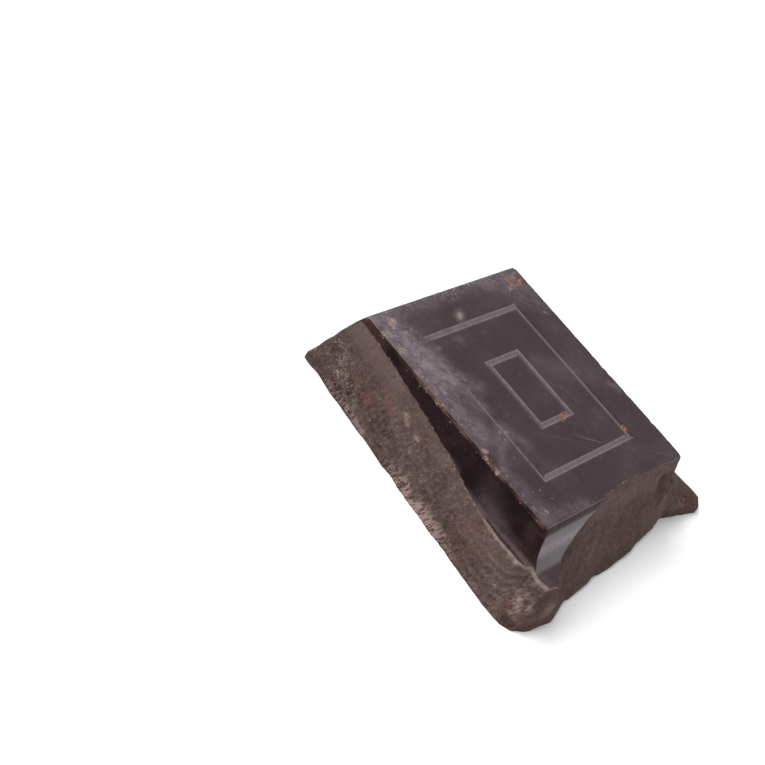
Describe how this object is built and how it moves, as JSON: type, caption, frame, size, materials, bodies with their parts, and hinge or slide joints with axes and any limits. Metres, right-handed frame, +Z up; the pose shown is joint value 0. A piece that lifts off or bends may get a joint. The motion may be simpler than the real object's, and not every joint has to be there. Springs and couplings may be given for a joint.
{
  "type": "broken piece of moulded dark chocolate",
  "caption": "Thick piece snapped from a moulded dark chocolate slab, with nested rectangular grooves in its top, rough broken sides and a flat underside to rest on.",
  "frame": {"origin": "on the flat underside, below the middle of the moulded block's top face", "axes": "+Z up out of the moulded top face, +Y along the block's long way to the back, +X along its short way to the right, where the thin broken apron reaches out"},
  "size_m": [0.0487, 0.0458, 0.015],
  "materials": {
    "chocolate": "dark chocolate: satin moulded faces with a thin grey bloom, dull rough broken faces"
  },
  "bodies": {
    "root": {"chocolate_piece": "chocolate"}
  },
  "joints": []
}
